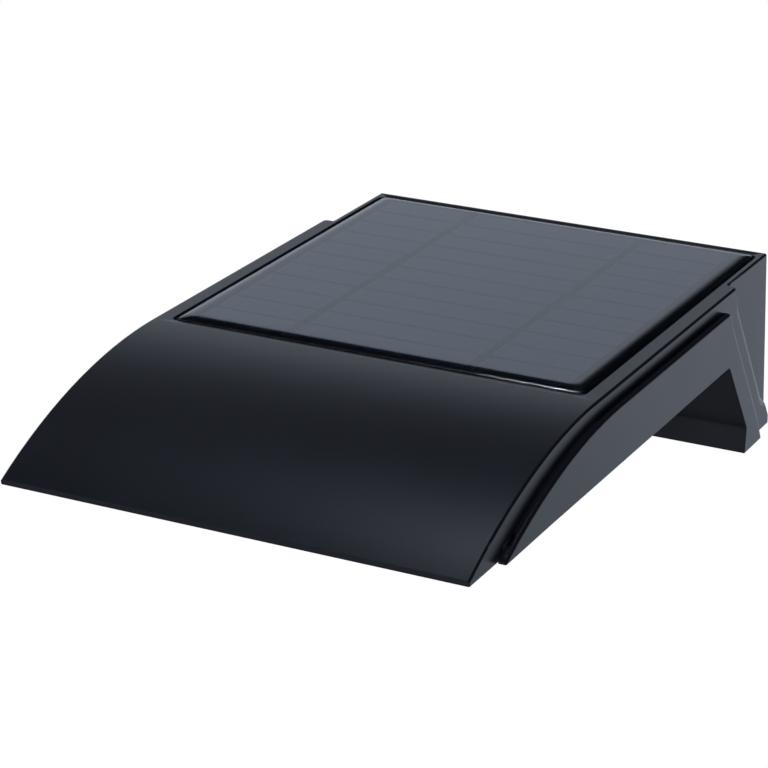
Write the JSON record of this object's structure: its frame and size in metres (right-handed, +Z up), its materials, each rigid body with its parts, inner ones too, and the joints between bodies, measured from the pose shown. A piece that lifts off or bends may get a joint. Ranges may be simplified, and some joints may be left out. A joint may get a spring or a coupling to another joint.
{
  "type": "solar wall light",
  "caption": "Black solar wall light: a crowned hood with a flat solar panel on top, a light window below, and a raked leg that hangs on a hooked wall bracket.",
  "frame": {"origin": "midway between the two wall screws, on the bracket's back face", "axes": "+Y into the wall, +Z up, +X to the right seen from in front; the light reaches out along -Y"},
  "size_m": [0.1296, 0.1925, 0.0504],
  "materials": {
    "shell_black": "satin moulded plastic",
    "cover_black": "moulded plastic",
    "panel_clear": "clear cast resin",
    "cell_blue": "textured silicon",
    "ribbon_tin": "tinned",
    "board_dark": "laminate",
    "board_green": "solder mask",
    "foam_tape": "foam",
    "lens_opal": "frosted",
    "reflector_white": "white",
    "led_plate": "white mask",
    "led_yellow": "phosphor",
    "screw_steel": "stainless",
    "chip_black": "moulded",
    "coil_grey": "ferrite",
    "can_metal": "drawn can",
    "socket_white": "nylon",
    "button_grey": "moulded plastic",
    "seal_rubber": "silicone",
    "cell_wrap": "shrink wrap",
    "bracket_zinc": "zinc plated",
    "lead_red": "insulation",
    "lead_black": "insulation"
  },
  "bodies": {
    "bracket": {"wall_bracket": "bracket_zinc"},
    "lamp": {"upper_shell": "shell_black", "lower_housing": "shell_black", "back_cover": "cover_black", "cover_screws": "screw_steel", "housing_seals": "seal_rubber", "housing_screws": "screw_steel", "panel_tape": "foam_tape", "panel_board": "board_dark", "solar_cells": "cell_blue", "cell_ribbons": "ribbon_tin", "panel_resin": "panel_clear", "lens_gasket": "seal_rubber", "lens": "lens_opal", "reflector": "reflector_white", "reflector_screws": "screw_steel", "led_board": "led_plate", "leds": "led_yellow", "led_screws": "screw_steel", "control_board": "board_green", "board_screws": "screw_steel", "board_chips": "chip_black", "inductor": "coil_grey", "capacitors": "can_metal", "lead_sockets": "socket_white", "push_switch": "chip_black", "battery": "cell_wrap", "battery_holder": "cover_black", "battery_contacts": "screw_steel", "holder_screws": "screw_steel", "panel_lead_red": "lead_red", "panel_lead_black": "lead_black", "led_lead_red": "lead_red", "led_lead_black": "lead_black", "battery_lead_red": "lead_red", "battery_lead_black": "lead_black"},
    "button": {"mode_button": "button_grey", "switch_stem": "button_grey", "button_ring": "seal_rubber"}
  },
  "joints": [
    {"name": "lift_off", "type": "slide", "parent": "bracket", "child": "lamp", "axis": [0, 0, 1], "range_m": [0, 0.008]},
    {"name": "mode_press", "type": "slide", "parent": "lamp", "child": "button", "axis": [0, 0, 1], "range_m": [0, 0.0012], "stiffness_N_per_m": 500, "springref_m": -0.001}
  ]
}
